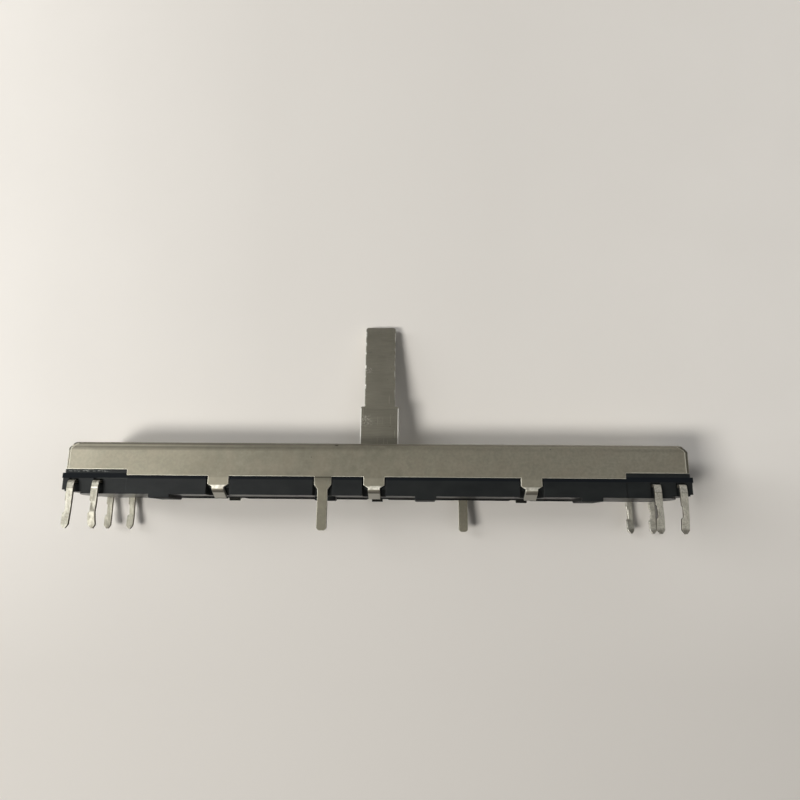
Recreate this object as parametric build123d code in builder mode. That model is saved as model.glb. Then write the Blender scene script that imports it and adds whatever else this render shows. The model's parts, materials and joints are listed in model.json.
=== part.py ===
from build123d import *
import math
import os

# A compact dual slide potentiometer with a folded steel cover, in millimetres. The long
# axis of the body and the travel run along X, the lever points along +Z, and the origin is
# the middle of the cover's top face. The front is -Y.

# Travel and slider
travel = 60.0
slider_x = 0.3
carriage_length = 12.0
carriage_stop_gap = 0.3

# Folded cover
sheet = 0.4
body_width = 9.0
side_bend = 1.0
end_corner = 0.80
end_bend = 0.42
skirt_depth = 4.08
end_wall_depth = 3.40
skirt_step_from_end = 7.84
corner_clip_gap = 0.03
end_wall_gap = 0.05
end_wall_side_inset = 0.40

# Slot and tapped screw holes in the cover
slot_side_gap = 0.2
slot_end_gap = 0.45
screw_inset = 2.25
screw_hole_radius = 0.8
screw_hole_chamfer = 0.1
collar_wall = 0.45
collar_depth = 1.0

# Tabs that clamp the base
tab_pitch = 18.6
tab_count = 3
tab_width = 2.5
tab_neck = 1.40
tab_taper_length = 0.34
tab_neck_length = 0.37
tab_corner_rise = 0.55
tab_bend = 0.60
tab_tail = 1.75
tab_tail_slope = math.radians(30.0)

# Solder lugs of the cover
lug_front_x = -6.09
lug_rear_x = 11.20
lug_width = 1.20
lug_shoulder = 2.05
lug_shoulder_depth = 4.98
lug_neck_depth = 5.60
lug_tip_round = 0.42
tip_depth = 10.36

# Moulded base
seat_gap = 0.04
inner_fit = 0.05
wall = 0.5
lip = 0.25
lip_height = 0.6
lip_below_skirt = 0.39
lip_corner_round = 0.2
shoulder_inset = 0.3
shoulder_side_inset = 0.05
end_face_inset = 0.10
end_body_inset = 0.15
toe_inset = 0.5
toe_height = 0.19
floor_layer = 0.25
floor_layer_side_inset = 2.7
floor_layer_crown_inset = 0.9
base_depth = 6.30
floor_thickness = 0.7
tray_top_gap = 0.05
tray_corner_round = 0.3
notch_side_gap = 0.15
window_gap = 0.06
window_head = 0.12
window_reach = 0.1
groove_depth = 0.2
groove_side_gap = 0.15

# Feet under the front half of the base
foot_width = 2.5
foot_length = 4.2
foot_behind_lug_length = 1.6
foot_height = 0.45
foot_inner_x = 6.12
foot_outer_x = 25.6
foot_chamfer = 0.1

# Element board and printed tracks
board_thickness = 0.55
board_edge = 0.15
print_thickness = 0.05
resistive_width = 0.9
resistive_overrun = 1.5
resistive_pad_overlap = 0.44
collector_width = 0.7

# Terminals
strip = 0.3
row_outset = 0.61
terminal_end_inset = 1.48
terminal_pitch = 2.96
terminal_width = 0.80
terminal_bend = 0.45
terminal_lean = 0.18
fold_depth = 5.65
waist = 0.16
waist_top_depth = 7.10
waist_bottom_depth = 8.45
waist_slant = 0.2
blade_swell = 0.06
point_height = 0.42
point_width = 0.24
kink_depths = (7.42, 8.55)
kink_round = 0.35
tongue_width = 1.1
tongue_shift = 0.35
tongue_length = 1.2
tongue_wall_gap = 0.1
strip_overlap = 0.15
clinch_width = 0.55
clinch_gap = 0.05
clinch_inset = 0.5

# How far each pin bends away from the body at its two kinks and at its tip
pin_bends = {
    "front": ((0.0, 0.05, 0.20), (0.0, 0.10, -0.40), (0.0, 0.12, 0.0), (-0.08, -0.15, -0.40)),
    "rear": ((0.0, 0.05, 0.0), (0.10, 0.20, 0.05), (0.0, 0.10, -0.25), (0.0, 0.08, 0.0)),
}

# Carriage
running_gap = 0.1
collar_clearance = 0.65
bridge_end_wall = 0.28
deck_depth = 2.3
deck_thickness = 0.8
carriage_round = 0.25
stake_radius = 0.30
stake_head_radius = 0.45
stake_head_height = 0.12
stake_gap = 0.05
stake_x = 1.4

# Lever
lever_thickness = 1.2
lever_height = 15.88
lever_step_height = 5.27
lever_tip_width = 3.89
lever_root_width = 4.85
lever_foot_width = 6.0
lever_foot_height = 0.9
lever_tip_round = 0.35
lever_step_round = 0.2
lever_fit = 0.02

# Wipers
leaf = 0.15
wiper_inner_margin = 0.05
wiper_outer_margin = 0.2
wiper_half_length = 3.0
finger_root_x = 2.4
fold_x = 4.2
fold_drop = 0.65
fold_round = 0.3
contact_x = -0.4
contact_gap = 0.01
contact_lift_length = 0.8
contact_lift = 0.4
finger_width = 0.3
finger_spread = 0.44

# Side spring of the carriage
spring_leaf = 0.12
spring_length = 7.6
spring_height = 1.2
spring_gap = 0.02
spring_bow = 0.33
spring_pocket_gap = 0.1

# Lengths that follow from the travel
end_allowance = carriage_stop_gap + wall + inner_fit + sheet + lip
body_length = travel + carriage_length + 2 * end_allowance
half_body = body_length / 2
half_width = body_width / 2
half_cover = half_body - lip
half_side_wall = half_cover - sheet - end_wall_gap
corner_clip = end_corner + corner_clip_gap + sheet * (math.sqrt(2) - 1) - end_wall_gap
half_skirt = half_body - skirt_step_from_end
slot_length = travel + lever_root_width + 2 * slot_end_gap
slot_width = lever_thickness + 2 * slot_side_gap
screw_x = half_cover - screw_inset
tab_places = [tab_pitch * (index - (tab_count - 1) / 2) for index in range(tab_count)]

# Levels of the base and of what lies in it
base_bottom = -base_depth
floor_top = base_bottom + floor_thickness
board_top = floor_top + board_thickness
print_top = board_top + print_thickness
strip_top = print_top + strip
toe_depth = base_depth - floor_layer - toe_height
tab_corner_depth = base_depth - tab_corner_rise
tab_neck_depth = tab_corner_depth - tab_neck_length
tab_taper_depth = tab_neck_depth - tab_taper_length
lip_bottom_depth = skirt_depth + lip_below_skirt
lip_bottom = -lip_bottom_depth
lip_top = lip_bottom + lip_height
skirt_seat = -skirt_depth - seat_gap
end_seat = -end_wall_depth - seat_gap
tray_top = -side_bend - tray_top_gap
tray_half_width = half_width - sheet - inner_fit
tray_half_length = half_cover - sheet - inner_fit
cavity_half_width = tray_half_width - wall
cavity_half_length = tray_half_length - wall
board_half_width = cavity_half_width - inner_fit
board_half_length = cavity_half_length - inner_fit

# Tracks, laid out with equal gaps between the middle and each edge of the board
track_gap = (board_half_width - collector_width - resistive_width) / 3
collector_y = track_gap + collector_width / 2
resistive_y = board_half_width - track_gap - resistive_width / 2

# Places of the terminals
outer_terminal_x = half_body - terminal_end_inset
inner_terminal_x = outer_terminal_x - terminal_pitch
terminal_places = (-outer_terminal_x, -inner_terminal_x, inner_terminal_x, outer_terminal_x)
strip_face_y = half_width + row_outset
tongue_end_y = cavity_half_width - tongue_wall_gap
tongue_start_y = tongue_end_y - tongue_length
strip_start_y = tongue_end_y - strip_overlap
clinch_y = tongue_start_y + clinch_inset
clinch_hole = clinch_width + 2 * clinch_gap

# Levels of the slider
carriage_top = -sheet - running_gap
carriage_half_width = cavity_half_width - running_gap
rail_inner_y = screw_hole_radius + collar_wall + collar_clearance
rail_width = carriage_half_width - rail_inner_y
bridge_length = lever_foot_width + 2 * (lever_fit + bridge_end_wall)
deck_top = -deck_depth
deck_bottom = deck_top - deck_thickness
foot_bottom = deck_bottom + lever_fit
foot_top = foot_bottom + lever_foot_height
wiper_inner_y = collector_y - (finger_spread + finger_width) / 2 - wiper_inner_margin
wiper_outer_y = resistive_y + (finger_spread + finger_width) / 2 + wiper_outer_margin
stake_y = (wiper_inner_y + wiper_outer_y) / 2
spring_apex_y = cavity_half_width - spring_gap
spring_middle = (carriage_top + deck_top) / 2

sides = {"front": -1, "rear": 1}
inner_side = {-1: Side.LEFT, 1: Side.RIGHT}
lug_places = {-1: lug_front_x, 1: lug_rear_x}
overcut = 1.0

os.makedirs("parts", exist_ok=True)


def face_plane(side, distance):
    """An upright plane at a distance in front of or behind the middle of the body."""
    return Plane.XZ.offset(-side * distance)


def bent_strip(plane, points, radii, thickness, side):
    """The section of a bent strip, from the line of its outer face."""
    with BuildSketch(plane) as section:
        with BuildLine():
            FilletPolyline(*points, radius=radii)
            offset(amount=thickness, side=side)
        make_face()
    return section.sketch


def stepped_outline(plane, half_length):
    """The base's plan, a little narrower past the deep part of the skirt."""
    with BuildSketch(plane) as outline:
        Rectangle(2 * half_length, body_width - 2 * end_face_inset)
        Rectangle(2 * half_skirt, body_width)
    return outline.sketch


def write(piece, name):
    """Labels a finished piece and writes it to its own file."""
    piece.label = name
    export_step(piece, f"parts/{name}.step")


# Cover: one folded sheet with a channel section, two end walls, tabs and solder lugs
with BuildPart() as top_cover:
    channel_line = [
        (-half_width, -end_wall_depth),
        (-half_width, 0),
        (half_width, 0),
        (half_width, -end_wall_depth),
    ]
    extrude(bent_strip(Plane.YZ, channel_line, side_bend, sheet, Side.RIGHT), half_side_wall, both=True)
    for end in (-1, 1):
        with BuildSketch(Plane.XZ):
            with BuildLine():
                Polyline(
                    (end * (half_side_wall - corner_clip), 0),
                    (end * half_side_wall, 0),
                    (end * half_side_wall, -corner_clip),
                    close=True,
                )
            make_face()
        extrude(amount=half_width, both=True, mode=Mode.SUBTRACT)
    for end in (-1, 1):
        end_line = [
            (end * (half_side_wall - 2 * corner_clip), 0),
            (end * (half_cover - end_corner), 0),
            (end * half_cover, -end_corner),
            (end * half_cover, -end_wall_depth),
        ]
        end_section = bent_strip(Plane.XZ, end_line, end_bend, sheet, inner_side[end])
        extrude(end_section, half_width - end_wall_side_inset, both=True)
    with BuildSketch(Plane.YZ) as envelope:
        with Locations((0, -end_wall_depth / 2)):
            Rectangle(body_width, end_wall_depth)
        fillet(envelope.vertices().group_by(Axis.Y)[-1], side_bend)
    extrude(amount=half_cover, both=True, mode=Mode.INTERSECT)
    for side in sides.values():
        with BuildSketch(face_plane(side, half_width)) as skirt:
            with Locations((0, -(end_wall_depth + skirt_depth) / 2)):
                Rectangle(2 * half_skirt, skirt_depth - end_wall_depth)
            with Locations(*[(tab_x, 0) for tab_x in tab_places]):
                Polygon(
                    (-tab_width / 2, -end_wall_depth),
                    (-tab_width / 2, -tab_taper_depth),
                    (-tab_neck / 2, -tab_neck_depth),
                    (tab_neck / 2, -tab_neck_depth),
                    (tab_width / 2, -tab_taper_depth),
                    (tab_width / 2, -end_wall_depth),
                    align=None,
                )
            with Locations((lug_places[side], 0)):
                Polygon(
                    (-lug_shoulder / 2, -end_wall_depth),
                    (-lug_shoulder / 2, -lug_shoulder_depth),
                    (-lug_width / 2, -lug_neck_depth),
                    (-lug_width / 2, -tip_depth),
                    (lug_width / 2, -tip_depth),
                    (lug_width / 2, -lug_neck_depth),
                    (lug_shoulder / 2, -lug_shoulder_depth),
                    (lug_shoulder / 2, -end_wall_depth),
                    align=None,
                )
            fillet(skirt.vertices().group_by(Axis.Y)[0], lug_tip_round)
        extrude(amount=side * sheet)
        for tab_x in tab_places:
            tail_line = [
                (side * half_width, -tab_neck_depth),
                (side * half_width, -tab_corner_depth),
                (
                    side * (half_width - tab_tail * math.cos(tab_tail_slope)),
                    -tab_corner_depth - tab_tail * math.sin(tab_tail_slope),
                ),
            ]
            tail = bent_strip(Plane.YZ.offset(tab_x), tail_line, tab_bend, sheet, inner_side[side])
            extrude(tail, tab_neck / 2, both=True)
    with BuildSketch():
        SlotOverall(slot_length, slot_width)
    extrude(amount=-sheet, mode=Mode.SUBTRACT)
    with BuildSketch(Plane.XY.offset(-sheet)):
        with GridLocations(2 * screw_x, 0, 2, 1):
            Circle(screw_hole_radius + collar_wall)
    extrude(amount=-collar_depth)
    with BuildSketch():
        with GridLocations(2 * screw_x, 0, 2, 1):
            Circle(screw_hole_radius)
    extrude(amount=-sheet - collar_depth, mode=Mode.SUBTRACT)
    hole_rims = top_cover.edges().filter_by(GeomType.CIRCLE).filter_by(lambda rim: rim.is_closed)
    chamfer(hole_rims.group_by(Axis.Z)[-1], screw_hole_chamfer)
write(top_cover.part, "top_cover")

# Base: a moulded tray with a lip all round, notches for tabs and lugs, and terminal windows
with BuildPart() as base:
    bow_side = half_body - floor_layer_side_inset
    bow_crown = half_body - floor_layer_crown_inset
    extrude(stepped_outline(Plane.XY.offset(base_bottom), bow_crown), floor_layer)
    with BuildSketch(Plane.XY.offset(base_bottom)):
        with BuildLine():
            Line((-bow_side, -half_width), (bow_side, -half_width))
            ThreePointArc((bow_side, -half_width), (bow_crown, 0), (bow_side, half_width))
            Line((bow_side, half_width), (-bow_side, half_width))
            ThreePointArc((-bow_side, half_width), (-bow_crown, 0), (-bow_side, -half_width))
        make_face()
    extrude(amount=floor_layer, mode=Mode.INTERSECT)
    toe_plane = Plane.XY.offset(base_bottom + floor_layer)
    extrude(stepped_outline(toe_plane, half_body - toe_inset), base_depth - floor_layer - toe_depth)
    body_plane = Plane.XY.offset(-toe_depth)
    extrude(stepped_outline(body_plane, half_body - end_body_inset), toe_depth - lip_bottom_depth)
    with BuildSketch(Plane.XY.offset(lip_bottom)):
        RectangleRounded(body_length, body_width, lip_corner_round)
    extrude(amount=lip_height)
    with BuildSketch(Plane.XY.offset(lip_top)):
        shoulder_width = body_width - 2 * shoulder_side_inset
        RectangleRounded(body_length - 2 * shoulder_inset, shoulder_width, lip_corner_round)
    extrude(amount=end_seat - lip_top)
    with BuildSketch(Plane.XY.offset(skirt_seat)):
        with GridLocations(0, 2 * tray_half_width + overcut, 1, 2):
            Rectangle(2 * (half_skirt + end_wall_gap), overcut)
    extrude(amount=end_seat - skirt_seat, mode=Mode.SUBTRACT)
    with BuildSketch(Plane.XY.offset(end_seat)):
        RectangleRounded(2 * tray_half_length, 2 * tray_half_width, tray_corner_round)
    extrude(amount=tray_top - end_seat)
    with BuildSketch(Plane.XY.offset(floor_top)):
        Rectangle(2 * cavity_half_length, 2 * cavity_half_width)
    extrude(amount=tray_top - floor_top, mode=Mode.SUBTRACT)

    # Notches that hold the tabs, with a sloped floor under each clamped tail
    notch_inset = sheet + inner_fit
    notch_y = half_width - notch_inset
    sine = math.sin(tab_tail_slope)
    cosine = math.cos(tab_tail_slope)
    slope_start = -tab_corner_depth + notch_inset * cosine - notch_inset * (1 - sine) * sine / cosine
    slope_end = base_bottom - sheet
    slope_end_y = notch_y - (slope_start - slope_end) * cosine / sine
    for side in sides.values():
        for tab_x in tab_places:
            with BuildSketch(Plane.YZ.offset(tab_x)):
                with BuildLine():
                    Polyline(
                        (side * (half_width + overcut), skirt_seat),
                        (side * notch_y, skirt_seat),
                        (side * notch_y, slope_start),
                        (side * slope_end_y, slope_end),
                        (side * (half_width + overcut), slope_end),
                        close=True,
                    )
                make_face()
            extrude(amount=tab_width / 2 + notch_side_gap, both=True, mode=Mode.SUBTRACT)
        with BuildSketch(face_plane(side, notch_y)):
            with Locations((lug_places[side], (skirt_seat + base_bottom) / 2)):
                Rectangle(lug_shoulder + 2 * notch_side_gap, skirt_seat - base_bottom)
        extrude(amount=-side * overcut, mode=Mode.SUBTRACT)

        # Terminal windows through the side wall, and the shallow grooves below them
        window_start = strip_start_y - window_reach
        window_bottom = print_top - window_gap
        window_top = strip_top + window_head
        with BuildSketch(face_plane(side, window_start)):
            with Locations(*[(x, (window_bottom + window_top) / 2) for x in terminal_places]):
                Rectangle(terminal_width + 2 * window_gap, window_top - window_bottom)
        extrude(amount=-side * (half_width + overcut - window_start), mode=Mode.SUBTRACT)
        with BuildSketch(face_plane(side, half_width - end_face_inset - groove_depth)):
            with Locations(*[(x, (lip_bottom + base_bottom) / 2) for x in terminal_places]):
                Rectangle(terminal_width + 2 * groove_side_gap, lip_bottom - base_bottom)
        extrude(amount=-side * overcut, mode=Mode.SUBTRACT)

    # Feet, the one behind the front solder lug cut short
    for foot_x in (-foot_outer_x, -foot_inner_x, foot_inner_x, foot_outer_x):
        behind_lug = abs(foot_x - lug_front_x) < (foot_width + lug_shoulder) / 2
        length = foot_behind_lug_length if behind_lug else foot_length
        foot_back_y = -half_width + foot_length
        with BuildSketch(Plane.XY.offset(base_bottom)):
            with Locations((foot_x, foot_back_y - length / 2)):
                Rectangle(foot_width, length)
        extrude(amount=-foot_height)
    chamfer(base.edges().group_by(Axis.Z)[0], foot_chamfer)
write(base.part, "base")

# Element board under the slider, with a hole for each terminal's clinch
with BuildPart() as element_board:
    with BuildSketch(Plane.XY.offset(floor_top)):
        Rectangle(2 * board_half_length, 2 * board_half_width)
        for terminal_x in terminal_places:
            clinch_x = terminal_x - math.copysign(tongue_shift, terminal_x)
            with Locations((clinch_x, -clinch_y), (clinch_x, clinch_y)):
                Rectangle(clinch_hole, clinch_hole, mode=Mode.SUBTRACT)
    extrude(amount=board_thickness)
write(element_board.part, "element_board")


def printed_track(side, track_y, width, half_run, terminal_x, pad_start):
    """One printed track with a pad at each end, under the tongues of its two terminals."""
    pad_end = terminal_x - tongue_shift + tongue_width / 2
    pad_length = pad_end - pad_start
    pad_inner_y = track_y - width / 2
    pad_outer_y = board_half_width - board_edge
    pad_y = side * (pad_inner_y + pad_outer_y) / 2
    clinch_x = terminal_x - tongue_shift
    with BuildPart() as track:
        with BuildSketch(Plane.XY.offset(board_top)):
            with Locations((0, side * track_y)):
                Rectangle(2 * half_run, width)
            with Locations((pad_length / 2 - pad_end, pad_y), (pad_end - pad_length / 2, pad_y)):
                Rectangle(pad_length, pad_outer_y - pad_inner_y)
            with Locations((-clinch_x, side * clinch_y), (clinch_x, side * clinch_y)):
                Rectangle(clinch_hole, clinch_hole, mode=Mode.SUBTRACT)
        extrude(amount=print_thickness)
    return track.part


collector_half_run = outer_terminal_x - tongue_shift + tongue_width / 2
collector_pad_start = collector_half_run - tongue_width
resistive_half_run = travel / 2 + resistive_overrun
resistive_pad_start = resistive_half_run - resistive_pad_overlap
for name, side in sides.items():
    resistive = printed_track(
        side, resistive_y, resistive_width, resistive_half_run, inner_terminal_x, resistive_pad_start
    )
    write(resistive, f"resistive_track_{name}")
    collector = printed_track(
        side, collector_y, collector_width, collector_half_run, outer_terminal_x, collector_pad_start
    )
    write(collector, f"collector_track_{name}")


def terminal(side, terminal_x, bends):
    """A punched terminal: clinched tongue, bend outside the base, waisted and kinked pin."""
    toward_middle = -math.copysign(1, terminal_x)
    upper_bend, lower_bend, tip_bend = bends
    upper_depth, lower_depth = kink_depths
    end_bend_away = tip_bend + (tip_bend - lower_bend) * overcut / (tip_depth - lower_depth)
    side_line = [
        (side * strip_start_y, strip_top),
        (side * (strip_face_y - terminal_lean), strip_top),
        (side * strip_face_y, -fold_depth),
        (side * (strip_face_y + upper_bend), -upper_depth),
        (side * (strip_face_y + lower_bend), -lower_depth),
        (side * (strip_face_y + end_bend_away), -tip_depth - overcut),
    ]
    half = terminal_width / 2
    front_line = [
        (-half, strip_top + overcut),
        (half, strip_top + overcut),
        (half, -waist_top_depth),
        (half - waist, -waist_top_depth - waist_slant),
        (half - waist, -waist_bottom_depth),
        (half + blade_swell, -waist_bottom_depth - waist_slant),
        (half + blade_swell, -tip_depth + point_height),
        (point_width / 2, -tip_depth),
        (-point_width / 2, -tip_depth),
        (-half, -tip_depth + point_height),
    ]
    with BuildPart() as pin:
        pin_plane = Plane.YZ.offset(terminal_x)
        rounds = (terminal_bend, kink_round, kink_round, kink_round)
        extrude(bent_strip(pin_plane, side_line, rounds, strip, inner_side[side]), terminal_width, both=True)
        with BuildSketch(Plane.XZ):
            with BuildLine():
                Polyline(*[(terminal_x - x, z) for x, z in front_line], close=True)
            make_face()
        extrude(amount=half_width + 2 * overcut, both=True, mode=Mode.INTERSECT)
        clinch_x = terminal_x + toward_middle * tongue_shift
        with BuildSketch(Plane.XY.offset(print_top)):
            with Locations((clinch_x, side * (tongue_start_y + tongue_end_y) / 2)):
                Rectangle(tongue_width, tongue_end_y - tongue_start_y)
        extrude(amount=strip)
        with BuildSketch(Plane.XY.offset(print_top)):
            with Locations((clinch_x, side * clinch_y)):
                Rectangle(clinch_width, clinch_width)
        extrude(amount=floor_top + clinch_gap - print_top)
    return pin.part


for name, side in sides.items():
    for number, (terminal_x, bends) in enumerate(zip(terminal_places, pin_bends[name]), start=1):
        write(terminal(side, terminal_x, bends), f"terminal_{name}_{number}")

# Carriage: a deck with two rails and a bridge that holds the lever, and stakes below
with BuildPart() as slider_carriage:
    with BuildSketch(Plane.XY.offset(deck_bottom)):
        with Locations((slider_x, 0)):
            RectangleRounded(carriage_length, 2 * carriage_half_width, carriage_round)
    extrude(amount=deck_thickness)
    with BuildSketch(Plane.XY.offset(deck_top)):
        with Locations((slider_x, 0)):
            with GridLocations(0, 2 * carriage_half_width - rail_width, 1, 2):
                RectangleRounded(carriage_length, rail_width, carriage_round)
            Rectangle(bridge_length, 2 * rail_inner_y)
    extrude(amount=carriage_top - deck_top)
    with BuildSketch(Plane.XY.offset(deck_bottom)):
        with Locations((slider_x, 0)):
            Rectangle(lever_root_width + 2 * lever_fit, lever_thickness + 2 * lever_fit)
    extrude(amount=carriage_top - deck_bottom, mode=Mode.SUBTRACT)
    with BuildSketch(Plane.XY.offset(deck_bottom)):
        with Locations((slider_x, 0)):
            Rectangle(lever_foot_width + 2 * lever_fit, lever_thickness + 2 * lever_fit)
    extrude(amount=foot_top + lever_fit - deck_bottom, mode=Mode.SUBTRACT)
    pocket_y = spring_apex_y - spring_bow - spring_leaf - spring_gap
    with BuildSketch(face_plane(1, pocket_y)):
        with Locations((slider_x, spring_middle)):
            Rectangle(spring_length + 2 * spring_pocket_gap, spring_height + 2 * spring_pocket_gap)
    extrude(amount=-overcut, mode=Mode.SUBTRACT)
    for stake_level, radius, height in (
        (deck_bottom, stake_radius, leaf + stake_gap),
        (deck_bottom - leaf - contact_gap, stake_head_radius, stake_head_height),
    ):
        with BuildSketch(Plane.XY.offset(stake_level)):
            with Locations((slider_x, 0)):
                with GridLocations(2 * stake_x, 2 * stake_y, 2, 2):
                    Circle(radius)
        extrude(amount=-height)
write(slider_carriage.part, "slider_carriage")

# Lever: a stepped steel blade with a foot held in the carriage
with BuildPart() as lever:
    half_tip = lever_tip_width / 2
    half_root = lever_root_width / 2
    half_foot = lever_foot_width / 2
    with BuildSketch(Plane.XZ) as blade:
        with Locations((slider_x, 0)):
            Polygon(
                (-half_foot, foot_bottom),
                (half_foot, foot_bottom),
                (half_foot, foot_top),
                (half_root, foot_top),
                (half_root, lever_step_height),
                (half_tip, lever_step_height),
                (half_tip, lever_height),
                (-half_tip, lever_height),
                (-half_tip, lever_step_height),
                (-half_root, lever_step_height),
                (-half_root, foot_top),
                (-half_foot, foot_top),
                align=None,
            )
        fillet(blade.vertices().group_by(Axis.Y)[-1], lever_tip_round)
        step_corners = blade.vertices().filter_by_position(
            Axis.Y, lever_step_height - lever_step_round, lever_step_height + lever_step_round
        )
        fillet(
            step_corners.filter_by(lambda corner: abs(corner.X - slider_x) > half_tip + lever_fit),
            lever_step_round,
        )
    extrude(amount=lever_thickness / 2, both=True)
write(lever.part, "lever")


def wiper(side):
    """A spring leaf staked under the carriage, with four fingers folded back to the tracks."""
    contact_z = print_top + contact_gap
    finger_line = [
        (slider_x + finger_root_x, deck_bottom),
        (slider_x + fold_x, deck_bottom),
        (slider_x + fold_x, deck_bottom - fold_drop),
        (slider_x + contact_x, contact_z),
        (slider_x + contact_x - contact_lift_length, contact_z + contact_lift),
    ]
    with BuildPart() as brush:
        with BuildSketch(Plane.XY.offset(deck_bottom)):
            with Locations((slider_x, side * (wiper_inner_y + wiper_outer_y) / 2)):
                Rectangle(2 * wiper_half_length, wiper_outer_y - wiper_inner_y)
            with Locations((slider_x - stake_x, side * stake_y), (slider_x + stake_x, side * stake_y)):
                Circle(stake_radius + stake_gap, mode=Mode.SUBTRACT)
        extrude(amount=-leaf)
        for track_y in (resistive_y, collector_y):
            for finger_y in (track_y - finger_spread / 2, track_y + finger_spread / 2):
                finger = bent_strip(
                    face_plane(side, finger_y), finger_line, fold_round, leaf, Side.RIGHT
                )
                extrude(finger, finger_width / 2, both=True)
    return brush.part


for name, side in sides.items():
    write(wiper(side), f"wiper_{name}")

# Side spring: a bowed leaf that takes up the play between the carriage and the base
with BuildPart() as slider_spring:
    with BuildSketch(Plane.XY.offset(spring_middle - spring_height / 2)):
        with BuildLine():
            ThreePointArc(
                (slider_x - spring_length / 2, spring_apex_y - spring_bow),
                (slider_x, spring_apex_y),
                (slider_x + spring_length / 2, spring_apex_y - spring_bow),
            )
            offset(amount=spring_leaf, side=Side.RIGHT)
        make_face()
    extrude(amount=spring_height)
write(slider_spring.part, "slider_spring")
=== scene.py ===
import json
import math

import bpy
from mathutils import Matrix, Vector


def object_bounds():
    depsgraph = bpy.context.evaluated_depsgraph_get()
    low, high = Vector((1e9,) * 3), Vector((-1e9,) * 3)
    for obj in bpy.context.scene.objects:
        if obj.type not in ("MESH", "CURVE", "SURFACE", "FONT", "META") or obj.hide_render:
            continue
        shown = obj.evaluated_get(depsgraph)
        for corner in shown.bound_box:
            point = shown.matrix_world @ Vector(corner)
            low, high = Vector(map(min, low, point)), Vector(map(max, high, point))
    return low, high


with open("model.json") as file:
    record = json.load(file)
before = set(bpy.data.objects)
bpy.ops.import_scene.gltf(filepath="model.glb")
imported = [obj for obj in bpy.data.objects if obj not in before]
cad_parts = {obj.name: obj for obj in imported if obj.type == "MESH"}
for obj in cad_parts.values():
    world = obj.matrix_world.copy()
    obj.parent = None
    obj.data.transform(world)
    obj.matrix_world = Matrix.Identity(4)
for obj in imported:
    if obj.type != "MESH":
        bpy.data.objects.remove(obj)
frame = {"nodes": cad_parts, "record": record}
nodes = frame["nodes"]
cad_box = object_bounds()
scene = bpy.context.scene

# Lengths are in metres, and MM turns a size in millimetres into metres
MM = 0.001
UPRIGHT = Vector((0, 0, 1))
BACKWARD = Vector((0, 1, 0))

# Camera, fitted to the photograph, with its turns in radians: it looks up a little at the part's front
CAMERA_PLACE = Vector((4.630, -75.876, -10.430)) * MM
CAMERA_YAW = -0.023
CAMERA_TILT = -0.2165
CAMERA_ROLL = 0.010
SENSOR_WIDTH_MM = 36.0
LENS_MM = 27.0

# Stage: a pale sheet that the part's back leans on, and a floor under its pins
SHEET_PLACE = Vector((0, 4.31, 0)) * MM
SHEET_SLOPE = 0.2335
SHEET_SIZE = 0.7
SHEET_COLOUR = (0.80, 0.768, 0.72)
# The sheet's sides get painted light and its bottom painted shade; the low colour also tints its faint
# clouds
SHEET_SIDE_LIGHT_COLOUR = (0.91, 0.876, 0.825)
SHEET_LOW_SHADE_AND_CLOUD_COLOUR = (0.743, 0.710, 0.663)
SHEET_LEFT_FADE = (-15 * MM, -50 * MM)
SHEET_RIGHT_FADE = (15 * MM, 55 * MM)
SHEET_LOW_FADE = (4 * MM, -30 * MM)
SHEET_CLOUD_SIZE = 16 * MM
STAGE_ROUGHNESS = 0.9
STAGE_SHINE = 0.1
FLOOR_GAP = 0.02 * MM
FLOOR_SIZE = 0.9
FLOOR_COLOUR = (0.80, 0.77, 0.72)
BACKGROUND_COLOUR = (0.74, 0.71, 0.66)
AMBIENT_COLOUR = (0.97, 0.98, 1.0)
AMBIENT_LEVEL = 0.035

# Lamps: direction from the part, distance, width and height in metres, and power in watts
KEY_DIRECTION = Vector((-0.73, -1.0, -0.43))
KEY_DISTANCE = 0.45
KEY_SIZE = (0.16, 0.09)
KEY_WATTS = 1.20
KEY_COLOUR = (1.0, 0.98, 0.94)
WINDOW_DIRECTION = Vector((-1.3, -1.0, 0.33))
WINDOW_DISTANCE = 0.45
WINDOW_SIZE = (0.45, 0.09)
WINDOW_WATTS = 1.07
OVERHEAD_DIRECTION = Vector((0.2, -0.5, 1.0))
OVERHEAD_DISTANCE = 0.45
OVERHEAD_SIZE = (0.40, 0.30)
OVERHEAD_WATTS = 0.27
FILL_DIRECTION = Vector((0.75, -1.0, -0.1))
FILL_DISTANCE = 0.55
FILL_SIZE = (0.30, 0.30)
FILL_WATTS = 0.26
REAR_DIRECTION = Vector((0.12, 0.34, 0.36))
REAR_DISTANCE = 0.50
REAR_SIZE = (0.35, 0.35)
REAR_WATTS = 0.9
WHITE = (1.0, 1.0, 1.0)

# Levels that several finishes follow, as heights above the cover's top face
SKIRT_FOOT = -4.15 * MM
SKIRT_END_FOOT = -3.44 * MM
UNDERSIDE = -6.30 * MM

# Faces that look to the side, by how far they turn: where a mask starts and where it is full
TO_THE_SIDE = (0.3, 0.6)

# Rounded edges, as the renderer shades them
EDGE_SAMPLES = 8
EDGE_START = 0.995
EDGE_FULL = 0.92
SHEET_EDGE = 0.12 * MM
MOULDED_EDGE = 0.10 * MM
PIN_EDGE = 0.06 * MM
REAR_PIN_EDGE = 0.20 * MM


def clean(tree):
    """Empties a node tree."""
    tree.nodes.clear()
    return tree


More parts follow.
